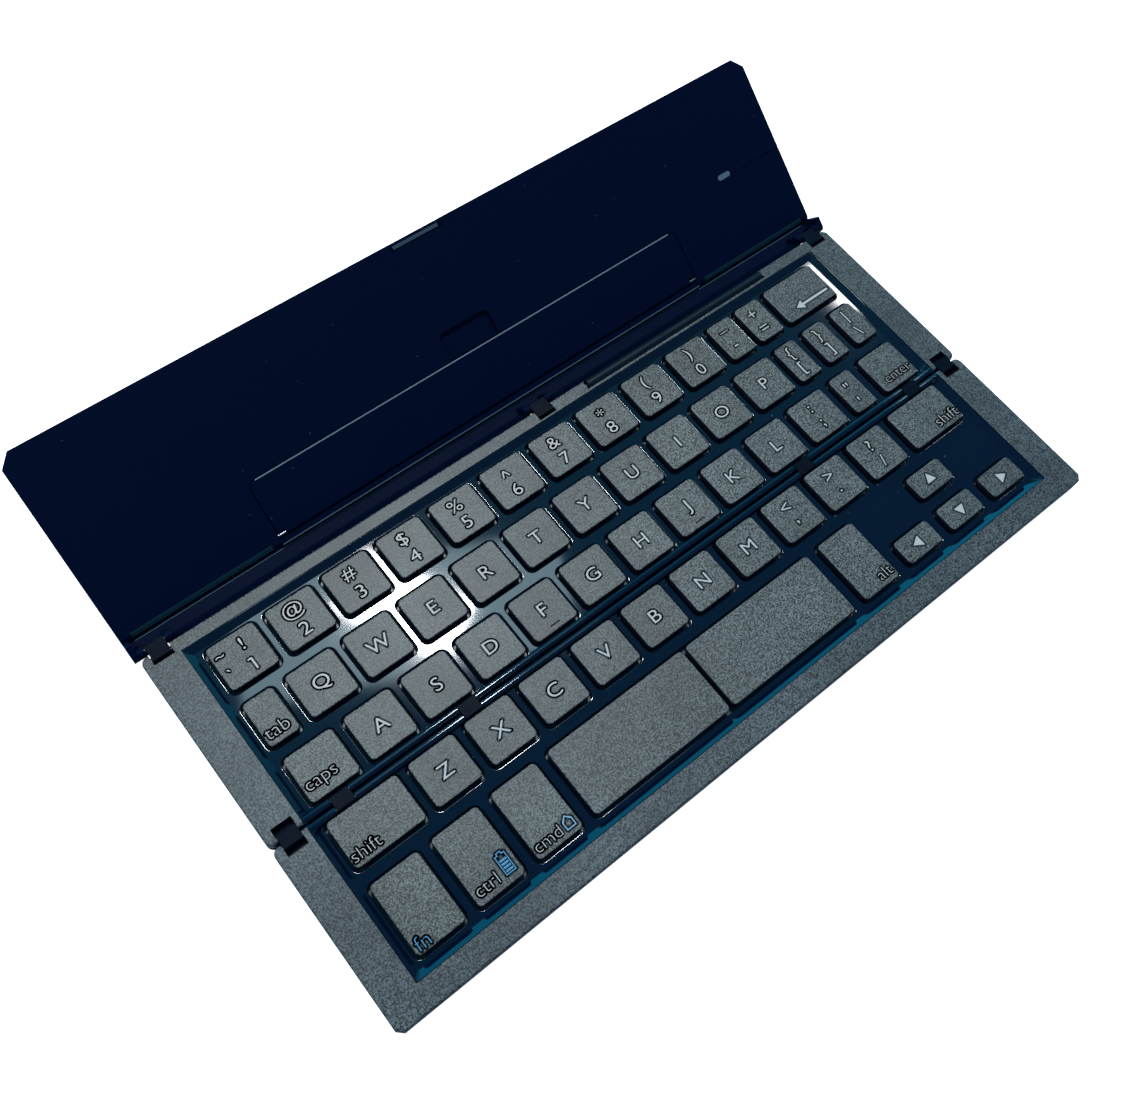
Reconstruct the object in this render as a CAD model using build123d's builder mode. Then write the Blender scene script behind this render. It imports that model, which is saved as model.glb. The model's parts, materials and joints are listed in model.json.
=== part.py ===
from build123d import *
import os
from math import cos, sin, radians

# Folding keyboard: a rear deck, a front deck that folds over it on a two-axis hinge,
# and a lid on a second two-axis hinge that closes over both and props up a device.
# Frame: X to the right, Y from the user to the lid, Z up from the table, millimetres.

os.makedirs("parts", exist_ok=True)

# Decks
deck_width = 228.0
front_deck_depth = 48.45
rear_deck_depth = 54.95
deck_height = 4.9
seam_gap = 0.4
deck_corner = 2.0
front_corner = 1.5
deck_edge = 0.5
base_edge = 0.6
foot_height = 0.5

# Covers and bezels
floor_height = 0.8
parting_height = 2.5
roof_height = 3.7
side_wall = 1.2
seam_wall = 1.0
rear_wall = 3.2
tray_width = 209.8
rear_strip = 3.5
front_strip = 6.3
inner_wall = 1.0
end_block = 7.0
rear_block = 8.5
front_block = 5.0
strip_pocket = 46.0
strip_rib = 10.0

# Key trays
tray_clearance = 0.1
web_bottom = 2.6
web_top = 3.4
rim_top = 4.7
rim_slope = 1.8
rim_land = 0.1
rim_corner = 0.8
basin_corner = 0.4
seam_corner = 2.0
seam_corner_foot = 1.2
tray_skirt = 1.2
key_gap = 0.6
web_edge = 0.35

# Switch layers, as heights above the underside of the deck
plate_top = 1.1
membrane_top = 1.35
dome_top = 2.3
scissor_top = 2.1
layer_margin = 0.3
plate_hole = 2.0
plate_holes_each_way = 3
dome_radius = 1.5
dome_tip = 0.8
scissor_inset = 1.2
scissor_bar = 0.6
scissor_width_limit = 14.0
scissor_depth_limit = 12.0

# Key caps
cap_top = 4.8
cap_bottom = 3.0
cap_roof = 0.8
cap_wall = 0.7
cap_corner = 1.2
cap_edge = 0.3

# Key grid
key_pitch = 16.1
row_pitch = 16.5
key_width = 13.0
key_depth = 12.6
home_row_from_seam = 9.15
bottom_row_from_seam = 8.8
space_row_from_seam = 28.95
space_row_depth = 18.8
arrow_depth = 7.2
arrow_offset = 5.7

# Fold hinge between the decks
axis_depth = 1.0
pin_diameter = 0.8
pin_seat = 0.01
pin_running = 0.05
pin_bite = 1.15
link_radius = 0.95
link_width = 4.9
link_shoulder = 0.55
notch_width = 5.3
end_notch_depth = 3.75
end_link_x = 108.9
inner_links_x = (-94.9, -59.1, 52.6, 94.9)

# Lid hinge
lid_axis_inset = 1.4
lid_link_spacing = 3.3
lid_link_tail = 0.4
lid_links_x = (-108.9, 6.2, 108.9)
lid_notch_width = 5.5
lid_notch_depth = 3.1
barrel_radius = 1.7
barrel_left = 21.0
barrel_right = 86.0
barrel_end_gap = 0.7
barrel_seat = 0.05

# Lid
lid_width = 230.0
lid_length = 51.0
lid_thickness = 3.0
lid_panel = 1.9
lid_tilt = 34.3
lid_gap = 0.3
lid_corner = 3.2
lid_edge = 0.5
pin_below_panel = 3.2
table_clearance = 0.1
trough_depth = 3.7
spine_depth = 4.9
spine_height = 3.0
trough_step = 0.5
trough_floor = 0.3
spine_notch = 0.8
lug_radius = 1.2
lug_width = 1.75
link_side_gap = 0.3
ear_thickness = 1.5
ear_height = 4.6
ear_lean = 0.3
ear_corner = 1.4
ear_depth = 4.7

# Flap and the small features of the lid's inner face
flap_width = 140.0
flap_bottom = 1.85
flap_top = 17.5
flap_thickness = 1.2
flap_corner = 2.2
flap_clearance = 0.3
flap_recess = 1.4
flap_pin_length = 5.0
flap_pin_window = 2.0
thumb_width = 16.0
thumb_top = 23.2
thumb_depth = 1.0
thumb_corner = 2.0
finger_width = 16.0
finger_depth = 2.0
latch_width = 14.0
latch_depth = 0.9
latch_height = 0.7
oblong_x = 93.6
oblong_u = 23.6
oblong_width = 4.6
oblong_height = 1.6
oblong_depth = 0.6
hairline_width = 0.2
hairline_depth = 0.15
hairline_u = 23.0
panel_bevel = 0.9
panel_bevel_depth = 0.5
shell_pocket = 0.4
shell_border = 6.0

# Battery, board, socket, feet and screws
battery_width = 6.4
battery_length = 36.0
battery_height = 2.5
battery_edge = 0.6
board_width = 6.4
board_length = 36.0
board_height = 0.6
chip_width = 3.2
chip_length = 3.0
chip_height = 0.6
chip_from_middle = 10.5
socket_width = 7.4
socket_height = 2.4
socket_depth = 5.0
socket_base = 1.0
socket_corner = 0.6
socket_shell = 0.3
socket_tongue = 0.6
socket_tongue_width = 3.7
socket_mouth = 1.2
socket_clearance = 0.15
socket_from_seam = 30.0
foot_length = 16.0
foot_width = 3.0
foot_seat = 0.3
foot_x = 84.0
foot_inset = 4.0
screw_x = 109.4
screw_diameter = 1.4
screw_head = 2.4
screw_head_height = 0.6
screw_clearance = 0.1
screw_top = 3.9
seam_screw_inset = 5.6
rear_screw_inset = 6.2
front_screw_inset = 3.2
strip_screw_x = 50.0

# Heights that follow
deck_base = foot_height
deck_top = deck_base + deck_height
axis_z = deck_top - axis_depth
parting_z = deck_base + parting_height
roof_z = deck_base + roof_height
floor_z = deck_base + floor_height
pin_radius = pin_diameter / 2
seat_radius = pin_radius + pin_seat
bore_radius = pin_radius + pin_running

# The lid's own directions: u runs up its inner face, n stands out of that face
tilt_cos = cos(radians(lid_tilt))
tilt_sin = sin(radians(lid_tilt))
fold_half = axis_depth + seam_gap / 2
closed_gap = seam_gap + deck_height + foot_height + lid_gap
pin_above_panel = closed_gap + axis_depth - lid_link_spacing

# Distances from the seam, then the places of everything along Y
front_reach = seam_gap / 2 + front_deck_depth
rear_reach = seam_gap / 2 + rear_deck_depth
lid_axis_reach = rear_reach - lid_axis_inset
lid_pin_reach = lid_axis_reach + lid_link_spacing
lid_corner_reach = lid_pin_reach + pin_below_panel * tilt_cos + pin_above_panel * tilt_sin
edge_loss = lid_edge * (tilt_cos + tilt_sin - 1)
lid_reach = lid_corner_reach + lid_length * tilt_cos + lid_thickness * tilt_sin - edge_loss
seam_y = (front_reach - lid_reach) / 2
front_y = seam_y - front_reach
rear_y = seam_y + rear_reach
front_seam_y = seam_y - seam_gap / 2
rear_seam_y = seam_y + seam_gap / 2
front_axis_y = seam_y - fold_half
rear_axis_y = seam_y + fold_half
lid_axis_y = seam_y + lid_axis_reach
lid_pin_y = seam_y + lid_pin_reach
lid_corner_y = seam_y + lid_corner_reach
lid_corner_z = axis_z + pin_below_panel * tilt_sin - pin_above_panel * tilt_cos
rear_strip_y = rear_y - rear_strip
front_strip_y = front_y + front_strip

# Half width and ends of the key trays, and the foot of their sloped rim
tray_x = tray_width / 2 - tray_clearance
tray_rear = rear_strip_y - tray_clearance
tray_front = front_strip_y + tray_clearance
floor_x = tray_x - rim_land - rim_slope
floor_rear = tray_rear - rim_land - rim_slope
floor_front = tray_front + rim_land + rim_slope
rear_basin_y = rear_axis_y + axis_depth
front_basin_y = front_axis_y - axis_depth

# Planes of the lid: its inner face, and its cross-section at a distance along X
lid_face = Plane(origin=(0, lid_corner_y, lid_corner_z), x_dir=(1, 0, 0), z_dir=(0, -tilt_sin, tilt_cos))


def lid_section(x):
    return Plane(origin=(x, lid_corner_y, lid_corner_z), x_dir=(0, tilt_cos, tilt_sin), z_dir=(1, 0, 0))


# Keys, each as (x, y, width, depth)
row_4_y = seam_y - bottom_row_from_seam
row_5_y = seam_y - space_row_from_seam
row_3_y = seam_y + home_row_from_seam
row_2_y = row_3_y + row_pitch
row_1_y = row_2_y + row_pitch


def key_run(first_x, y, count):
    return [(first_x + i * key_pitch, y, key_width, key_depth) for i in range(count)]


number_keys_list = key_run(-94.3, row_1_y, 10)
number_keys_list += [(64.2, row_1_y, 8.7, key_depth), (75.0, row_1_y, 8.8, key_depth)]
backspace_place = (91.3, row_1_y, 18.8, key_depth)

tab_place = (-97.1, row_2_y, 8.2, key_depth)
top_letters_list = key_run(-83.2, row_2_y, 10)
top_letters_list += [(74.7, row_2_y, 7.6, key_depth), (85.8, row_2_y, 7.8, key_depth)]
top_letters_list += [(97.1, row_2_y, 8.0, key_depth)]

caps_place = (-94.3, row_3_y, 13.2, key_depth)
home_letters_list = key_run(-78.1, row_3_y, 10)
home_letters_list += [(80.6, row_3_y, 7.8, key_depth)]
enter_place = (94.8, row_3_y, 12.8, key_depth)

left_shift_place = (-91.8, row_4_y, 19.2, key_depth)
bottom_letters_list = key_run(-72.7, row_4_y, 10)
right_shift_place = (91.7, row_4_y, 19.0, key_depth)

fn_place = (-95.0, row_5_y, 13.1, space_row_depth)
ctrl_place = (-78.4, row_5_y, 13.0, space_row_depth)
command_place = (-61.7, row_5_y, 13.0, space_row_depth)
left_space_place = (-30.3, row_5_y, 42.4, space_row_depth)
right_space_place = (13.3, row_5_y, 42.4, space_row_depth)
alt_place = (44.7, row_5_y, 12.5, space_row_depth)
left_arrow_place = (61.7, row_5_y - arrow_offset, 12.5, arrow_depth)
down_arrow_place = (78.3, row_5_y - arrow_offset, 12.5, arrow_depth)
right_arrow_place = (95.0, row_5_y - arrow_offset, 12.5, arrow_depth)
up_arrow_place = (78.3, row_5_y + arrow_offset, 12.5, arrow_depth)

rear_keys = number_keys_list + [backspace_place, tab_place] + top_letters_list
rear_keys += [caps_place] + home_letters_list + [enter_place]
space_bars = [left_space_place, right_space_place]
other_front_keys = [left_shift_place] + bottom_letters_list + [right_shift_place]
other_front_keys += [fn_place, ctrl_place, command_place, alt_place]
other_front_keys += [left_arrow_place, down_arrow_place, right_arrow_place, up_arrow_place]
front_keys = other_front_keys + space_bars

# The two space bars share one opening
space_left = left_space_place[0] - left_space_place[2] / 2
space_right = right_space_place[0] + right_space_place[2] / 2
space_bay = ((space_left + space_right) / 2, row_5_y, space_right - space_left, space_row_depth)

# Screws of each deck, as (x, y)
rear_screw_places = [(s * screw_x, rear_seam_y + seam_screw_inset) for s in (-1, 1)]
rear_screw_places += [(s * screw_x, rear_y - rear_screw_inset) for s in (-1, 1)]
front_screw_places = [(s * screw_x, front_seam_y - seam_screw_inset) for s in (-1, 1)]
front_screw_places += [(s * screw_x, front_y + front_screw_inset) for s in (-1, 1)]
front_screw_places += [(s * strip_screw_x, front_y + front_screw_inset) for s in (-1, 1)]

# Feet of each deck, as (x, y)
rear_foot_places = [(s * foot_x, rear_seam_y + foot_inset) for s in (-1, 1)]
rear_foot_places += [(s * foot_x, rear_y - foot_inset) for s in (-1, 1)]
front_foot_places = [(s * foot_x, front_seam_y - foot_inset) for s in (-1, 1)]
front_foot_places += [(s * foot_x, front_y + foot_inset) for s in (-1, 1)]


# Shapes used by several pieces

def block(x0, x1, y0, y1, z0, z1, mode=Mode.ADD):
    with Locations(((x0 + x1) / 2, (y0 + y1) / 2, (z0 + z1) / 2)):
        Box(abs(x1 - x0), abs(y1 - y0), abs(z1 - z0), mode=mode)


def rod(x0, x1, y, z, radius, mode=Mode.ADD):
    with Locations(((x0 + x1) / 2, y, z)):
        Cylinder(radius, abs(x1 - x0), rotation=(0, 90, 0), mode=mode)


def post(places, z0, z1, radius, mode=Mode.ADD):
    with Locations([(x, y, (z0 + z1) / 2) for x, y in places]):
        Cylinder(radius, z1 - z0, mode=mode)


def lid_block(x0, x1, u0, u1, n0, n1, mode=Mode.ADD):
    with BuildSketch(lid_face.offset(n0)) as base:
        with Locations(((x0 + x1) / 2, (u0 + u1) / 2)):
            Rectangle(x1 - x0, u1 - u0)
    extrude(base.sketch, amount=n1 - n0, mode=mode)


def rear_outline(z):
    with BuildSketch(Plane.XY.offset(z)) as outline:
        with Locations((0, (rear_seam_y + rear_y) / 2)):
            RectangleRounded(deck_width, rear_deck_depth, deck_corner)
    return outline.sketch


def front_outline(z):
    with BuildSketch(Plane.XY.offset(z)) as outline:
        with Locations((0, (front_seam_y + front_y) / 2)):
            Rectangle(deck_width, front_deck_depth)
        fillet(outline.vertices().group_by(Axis.Y)[-1], radius=deck_corner)
        chamfer(outline.vertices().group_by(Axis.Y)[0], length=front_corner)
    return outline.sketch


def seam_rounding(edge_y, axis_y):
    # Removes the corner outside a quarter round about the fold axis
    with BuildSketch(Plane.YZ.offset(-deck_width / 2)) as corner:
        with Locations(((edge_y + axis_y) / 2, (axis_z + deck_top) / 2)):
            Rectangle(abs(axis_y - edge_y), axis_depth)
        with Locations((axis_y, axis_z)):
            Circle(axis_depth, mode=Mode.SUBTRACT)
    extrude(corner.sketch, amount=deck_width, mode=Mode.SUBTRACT)


def seam_rail(edge_y, axis_y, z0):
    # A half-round ridge about the fold axis, on a straight foot
    inner_y = 2 * axis_y - edge_y
    with BuildSketch(Plane.YZ.offset(-tray_width / 2 + tray_clearance)) as ridge:
        with Locations((axis_y, axis_z)):
            Circle(axis_depth)
        with Locations(((edge_y + inner_y) / 2, (z0 + axis_z) / 2)):
            Rectangle(abs(inner_y - edge_y), axis_z - z0)
    extrude(ridge.sketch, amount=tray_width - 2 * tray_clearance)


def side_skirts(y0, y1):
    for side in (-1, 1):
        skirt_x = side * (tray_x - tray_skirt)
        block(side * tray_x, skirt_x, y0, y1, deck_base + plate_top, deck_base + web_bottom)


def corner_shape(side, corner_x, corner_y, toward, radius, z):
    # The part of a square corner that lies outside a quarter circle
    with BuildSketch(Plane.XY.offset(z)) as shape:
        across = radius + rim_land
        inward = across / 2 - rim_land
        with Locations((corner_x - side * inward, corner_y + toward * inward)):
            Rectangle(across, across)
        with Locations((corner_x - side * radius, corner_y + toward * radius)):
            Circle(radius, mode=Mode.SUBTRACT)
    return shape.sketch


def seam_corners(basin_y, toward):
    # Rounds the two corners where the sloped rim runs into the seam ridge
    for side in (-1, 1):
        foot_x = side * floor_x
        head_x = side * (floor_x + rim_slope)
        foot = corner_shape(side, foot_x, basin_y, toward, seam_corner_foot, deck_base + web_top)
        head = corner_shape(side, head_x, basin_y, toward, seam_corner, deck_base + rim_top)
        loft([foot, head])


def opening_edges(tray):
    # The edges of the key openings in the upper face of the web
    web_face = tray.faces().filter_by(Axis.Z).group_by(Axis.Z)[1][0]
    return [edge for wire in web_face.inner_wires() for edge in wire.edges()]


def key_openings(keys):
    for x, y, width, depth in keys:
        with BuildSketch(Plane.XY.offset(deck_base + web_bottom)) as opening:
            with Locations((x, y)):
                RectangleRounded(width + 2 * key_gap, depth + 2 * key_gap, cap_corner + key_gap)
        extrude(opening.sketch, amount=web_top - web_bottom, mode=Mode.SUBTRACT)


def caps_at(keys):
    for x, y, width, depth in keys:
        with BuildSketch(Plane.XY.offset(deck_base + cap_bottom)) as outline:
            with Locations((x, y)):
                RectangleRounded(width, depth, cap_corner)
        extrude(outline.sketch, amount=cap_top - cap_bottom)


def hollow_caps(keys):
    for x, y, width, depth in keys:
        with BuildSketch(Plane.XY.offset(deck_base + cap_bottom)) as hollow:
            with Locations((x, y)):
                RectangleRounded(width - 2 * cap_wall, depth - 2 * cap_wall, cap_corner - cap_wall)
        extrude(hollow.sketch, amount=cap_top - cap_roof - cap_bottom, mode=Mode.SUBTRACT)


def domes_at(keys):
    for x, y, width, depth in keys:
        with Locations((x, y, deck_base + (membrane_top + dome_top) / 2)):
            Cone(dome_radius, dome_tip, dome_top - membrane_top)


def scissors_at(keys):
    for x, y, width, depth in keys:
        across = min(width - 2 * scissor_inset, scissor_width_limit)
        along = min(depth - 2 * scissor_inset, scissor_depth_limit)
        with BuildSketch(Plane.XY.offset(deck_base + membrane_top)) as frame:
            with Locations((x, y)):
                Rectangle(across, along)
                Rectangle(across - 2 * scissor_bar, along - 2 * scissor_bar, mode=Mode.SUBTRACT)
        extrude(frame.sketch, amount=scissor_top - membrane_top)


def link_at(x, y0, y1, tail):
    # A bar with rounded undersides about its two axes, from y0 to y1 > y0
    with BuildSketch(Plane.YZ.offset(x - link_width / 2)) as profile:
        with Locations((y0, axis_z), (y1, axis_z)):
            Circle(link_radius)
        with Locations(((y0 + y1) / 2, axis_z)):
            Rectangle(y1 - y0, 2 * link_radius)
        with Locations(((y0 - link_shoulder + y1 + tail) / 2, axis_z + link_radius / 2)):
            Rectangle(y1 - y0 + link_shoulder + tail, link_radius)
        with Locations((y0, axis_z), (y1, axis_z)):
            Circle(bore_radius, mode=Mode.SUBTRACT)
    extrude(profile.sketch, amount=link_width)


def screw_holes_in_cover(places):
    post(places, deck_base, parting_z, screw_diameter / 2 + screw_clearance, Mode.SUBTRACT)
    post(places, deck_base, deck_base + screw_head_height, screw_head / 2 + screw_clearance, Mode.SUBTRACT)


def screws_at(places):
    post(places, deck_base, deck_base + screw_head_height, screw_head / 2)
    post(places, deck_base, deck_base + screw_top, screw_diameter / 2)


def foot_pads(places, z0, z1, clearance, mode=Mode.ADD):
    with BuildSketch(Plane.XY.offset(z0)) as pad:
        with Locations(places):
            SlotOverall(foot_length + 2 * clearance, foot_width + 2 * clearance)
    extrude(pad.sketch, amount=z1 - z0, mode=mode)


# Rear deck, bottom cover

with BuildPart() as rear_bottom_cover:
    extrude(rear_outline(deck_base), amount=parting_height)
    fillet(rear_bottom_cover.faces().sort_by(Axis.Z)[0].edges(), radius=base_edge)
    cavity_front = rear_seam_y + seam_wall
    cavity_rear = rear_y - rear_wall
    tray_bay = tray_width / 2 + tray_clearance
    block(-tray_bay, tray_bay, cavity_front, cavity_rear, floor_z, parting_z, Mode.SUBTRACT)
    bay_x = deck_width / 2 - side_wall
    bay_front = rear_seam_y + end_block
    bay_rear = rear_y - rear_block
    block(-bay_x, bay_x, bay_front, bay_rear, floor_z, parting_z, Mode.SUBTRACT)
    rod(barrel_left - barrel_end_gap, barrel_right + barrel_end_gap, lid_axis_y, axis_z,
        barrel_radius + barrel_seat, Mode.SUBTRACT)
    screw_holes_in_cover(rear_screw_places)
    foot_pads(rear_foot_places, deck_base, deck_base + foot_seat, pin_running, Mode.SUBTRACT)
    socket_y = rear_seam_y + socket_from_seam
    socket_z = deck_base + socket_base
    block(deck_width / 2 - 2 * side_wall, deck_width / 2,
          socket_y - socket_width / 2 - socket_clearance, socket_y + socket_width / 2 + socket_clearance,
          socket_z - socket_clearance, parting_z, Mode.SUBTRACT)
rear_bottom_cover.part.label = "rear_bottom_cover"
export_step(rear_bottom_cover.part, "parts/rear_bottom_cover.step")

# Rear deck, bezel

with BuildPart() as rear_bezel:
    extrude(rear_outline(parting_z), amount=deck_top - parting_z)
    fillet(rear_bezel.faces().sort_by(Axis.Z)[-1].edges(), radius=deck_edge)
    seam_rounding(rear_seam_y, rear_axis_y)
    block(-tray_width / 2, tray_width / 2, rear_seam_y, rear_strip_y, parting_z, deck_top, Mode.SUBTRACT)
    for side in (-1, 1):
        outer_x = side * (deck_width / 2 - side_wall)
        inner_x = side * (tray_width / 2 + inner_wall)
        block(outer_x, inner_x, rear_seam_y + end_block, rear_y - rear_block,
              parting_z, roof_z, Mode.SUBTRACT)
        end_x = side * end_link_x
        block(end_x - notch_width / 2, end_x + notch_width / 2, rear_seam_y, seam_y + end_notch_depth,
              parting_z, deck_top, Mode.SUBTRACT)
        rod(end_x - notch_width / 2 - pin_bite, end_x + notch_width / 2 + pin_bite,
            rear_axis_y, axis_z, seat_radius, Mode.SUBTRACT)
    for link_x in lid_links_x:
        block(link_x - lid_notch_width / 2, link_x + lid_notch_width / 2, rear_y - lid_notch_depth, rear_y,
              parting_z, deck_top, Mode.SUBTRACT)
        rod(link_x - lid_notch_width / 2 - pin_bite, link_x + lid_notch_width / 2 + pin_bite,
            lid_axis_y, axis_z, bore_radius, Mode.SUBTRACT)
    rod(lid_links_x[1], lid_links_x[2], lid_axis_y, axis_z, bore_radius, Mode.SUBTRACT)
    rod(barrel_left - barrel_end_gap, barrel_right + barrel_end_gap, lid_axis_y, axis_z,
        barrel_radius + barrel_seat, Mode.SUBTRACT)
    post(rear_screw_places, parting_z, deck_base + screw_top, screw_diameter / 2 + pin_seat, Mode.SUBTRACT)
    block(deck_width / 2 - 2 * side_wall, deck_width / 2,
          socket_y - socket_width / 2 - socket_clearance, socket_y + socket_width / 2 + socket_clearance,
          parting_z, socket_z + socket_height + socket_clearance, Mode.SUBTRACT)
rear_bezel.part.label = "rear_bezel"
export_step(rear_bezel.part, "parts/rear_bezel.step")

# Rear deck, key tray

with BuildPart() as rear_key_tray:
    block(-tray_x, tray_x, rear_seam_y, tray_rear, deck_base + web_bottom, deck_base + rim_top)
    with BuildSketch(Plane.XY.offset(deck_base + web_top)) as rear_basin_floor:
        with Locations((0, (rear_seam_y - rim_slope + floor_rear) / 2)):
            Rectangle(2 * floor_x, floor_rear - rear_seam_y + rim_slope)
        fillet(rear_basin_floor.vertices().group_by(Axis.Y)[-1], radius=basin_corner)
    with BuildSketch(Plane.XY.offset(deck_base + rim_top)) as rear_basin_rim:
        with Locations((0, (rear_seam_y - 2 * rim_slope + floor_rear + rim_slope) / 2)):
            Rectangle(2 * (floor_x + rim_slope), floor_rear - rear_seam_y + 3 * rim_slope)
        fillet(rear_basin_rim.vertices().group_by(Axis.Y)[-1], radius=rim_corner)
    loft(mode=Mode.SUBTRACT)
    key_openings(rear_keys)
    fillet(opening_edges(rear_key_tray), radius=web_edge)
    side_skirts(rear_seam_y + end_block, tray_rear)
    block(-tray_x, tray_x, tray_rear - tray_skirt, tray_rear, deck_base + plate_top, deck_base + web_bottom)
    seam_rail(rear_seam_y, rear_axis_y, parting_z)
    seam_corners(rear_basin_y, 1)
    for link_x in inner_links_x:
        block(link_x - notch_width / 2, link_x + notch_width / 2, rear_seam_y, rear_axis_y + fold_half,
              parting_z, deck_top, Mode.SUBTRACT)
        rod(link_x - notch_width / 2 - pin_bite, link_x + notch_width / 2 + pin_bite,
            rear_axis_y, axis_z, seat_radius, Mode.SUBTRACT)
rear_key_tray.part.label = "rear_key_tray"
export_step(rear_key_tray.part, "parts/rear_key_tray.step")

# Rear deck, switch layers

with BuildPart() as rear_support_plate:
    plate_x = tray_width / 2 - layer_margin
    plate_front = rear_seam_y + seam_wall + layer_margin
    plate_rear = tray_rear - layer_margin
    block(-plate_x, plate_x, plate_front, plate_rear, floor_z, deck_base + plate_top)
    ridge_y = [(row_1_y + row_2_y) / 2, (row_2_y + row_3_y) / 2]
    hole_columns = range(-plate_holes_each_way, plate_holes_each_way + 1)
    ridge_places = [(i * 2 * key_pitch, y) for i in hole_columns for y in ridge_y]
    post(ridge_places, floor_z, deck_base + plate_top, plate_hole / 2, Mode.SUBTRACT)
rear_support_plate.part.label = "rear_support_plate"
export_step(rear_support_plate.part, "parts/rear_support_plate.step")

with BuildPart() as rear_membrane:
    film_x = tray_x - tray_skirt - layer_margin
    film_front = rear_seam_y + seam_wall + 2 * layer_margin
    film_rear = tray_rear - tray_skirt - layer_margin
    block(-film_x, film_x, film_front, film_rear, deck_base + plate_top, deck_base + membrane_top)
    post(ridge_places, deck_base + plate_top, deck_base + membrane_top, plate_hole / 2, Mode.SUBTRACT)
rear_membrane.part.label = "rear_membrane"
export_step(rear_membrane.part, "parts/rear_membrane.step")

with BuildPart() as rear_domes:
    domes_at(rear_keys)
rear_domes.part.label = "rear_domes"
export_step(rear_domes.part, "parts/rear_domes.step")

with BuildPart() as rear_scissors:
    scissors_at(rear_keys)
rear_scissors.part.label = "rear_scissors"
export_step(rear_scissors.part, "parts/rear_scissors.step")

# Rear deck, power and electronics

bay_mid_x = (deck_width / 2 - side_wall + tray_width / 2 + inner_wall) / 2
bay_mid_y = (rear_seam_y + end_block + rear_y - rear_block) / 2

with BuildPart() as battery:
    block(-bay_mid_x - battery_width / 2, -bay_mid_x + battery_width / 2,
          bay_mid_y - battery_length / 2, bay_mid_y + battery_length / 2,
          floor_z, floor_z + battery_height)
    fillet(battery.edges().filter_by(Axis.Y), radius=battery_edge)
battery.part.label = "battery"
export_step(battery.part, "parts/battery.step")

with BuildPart() as controller_board:
    block(bay_mid_x - board_width / 2, bay_mid_x + board_width / 2,
          bay_mid_y - board_length / 2, bay_mid_y + board_length / 2,
          floor_z, floor_z + board_height)
    socket_x = deck_width / 2 - socket_depth
    block(socket_x - socket_clearance, deck_width / 2,
          socket_y - socket_width / 2 - socket_clearance, socket_y + socket_width / 2 + socket_clearance,
          floor_z, floor_z + board_height, Mode.SUBTRACT)
    chip_y = bay_mid_y - chip_from_middle
    block(bay_mid_x - chip_width / 2, bay_mid_x + chip_width / 2,
          chip_y - chip_length / 2, chip_y + chip_length / 2,
          floor_z + board_height, floor_z + board_height + chip_height)
controller_board.part.label = "controller_board"
export_step(controller_board.part, "parts/controller_board.step")

with BuildPart() as charging_socket:
    with BuildSketch(Plane.YZ.offset(socket_x)):
        with Locations((socket_y, socket_z + socket_height / 2)):
            RectangleRounded(socket_width, socket_height, socket_corner)
    extrude(amount=socket_depth - pin_running)
    with BuildSketch(Plane.YZ.offset(socket_x + socket_shell)):
        with Locations((socket_y, socket_z + socket_height / 2)):
            RectangleRounded(socket_width - 2 * socket_shell, socket_height - 2 * socket_shell,
                             socket_corner - socket_shell)
    extrude(amount=socket_depth, mode=Mode.SUBTRACT)
    block(socket_x + socket_shell / 2, socket_x + socket_depth - socket_mouth,
          socket_y - socket_tongue_width / 2, socket_y + socket_tongue_width / 2,
          socket_z + (socket_height - socket_tongue) / 2, socket_z + (socket_height + socket_tongue) / 2)
charging_socket.part.label = "charging_socket"
export_step(charging_socket.part, "parts/charging_socket.step")

# Rear deck, hinge barrel, pins, feet and screws

with BuildPart() as hinge_barrel:
    rod(barrel_left, barrel_right, lid_axis_y, axis_z, barrel_radius)
    rod(barrel_left, barrel_right, lid_axis_y, axis_z, bore_radius, Mode.SUBTRACT)
hinge_barrel.part.label = "hinge_barrel"
export_step(hinge_barrel.part, "parts/hinge_barrel.step")

fold_pin_half = notch_width / 2 + pin_bite
all_links_x = (-end_link_x,) + inner_links_x + (end_link_x,)

with BuildPart() as rear_fold_pins:
    for link_x in all_links_x:
        rod(link_x - fold_pin_half, link_x + fold_pin_half, rear_axis_y, axis_z, pin_radius)
rear_fold_pins.part.label = "rear_fold_pins"
export_step(rear_fold_pins.part, "parts/rear_fold_pins.step")

with BuildPart() as rear_feet:
    foot_pads(rear_foot_places, 0, deck_base + foot_seat, 0)
rear_feet.part.label = "rear_feet"
export_step(rear_feet.part, "parts/rear_feet.step")

with BuildPart() as rear_screws:
    screws_at(rear_screw_places)
rear_screws.part.label = "rear_screws"
export_step(rear_screws.part, "parts/rear_screws.step")

# Front deck, bottom cover

with BuildPart() as front_bottom_cover:
    extrude(front_outline(deck_base), amount=parting_height)
    fillet(front_bottom_cover.faces().sort_by(Axis.Z)[0].edges(), radius=base_edge)
    block(-tray_bay, tray_bay, front_strip_y - tray_clearance, front_seam_y - seam_wall,
          floor_z, parting_z, Mode.SUBTRACT)
    block(-bay_x, bay_x, front_y + front_block + side_wall, front_seam_y - end_block,
          floor_z, parting_z, Mode.SUBTRACT)
    screw_holes_in_cover(front_screw_places)
    foot_pads(front_foot_places, deck_base, deck_base + foot_seat, pin_running, Mode.SUBTRACT)
front_bottom_cover.part.label = "front_bottom_cover"
export_step(front_bottom_cover.part, "parts/front_bottom_cover.step")

# Front deck, bezel

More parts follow.
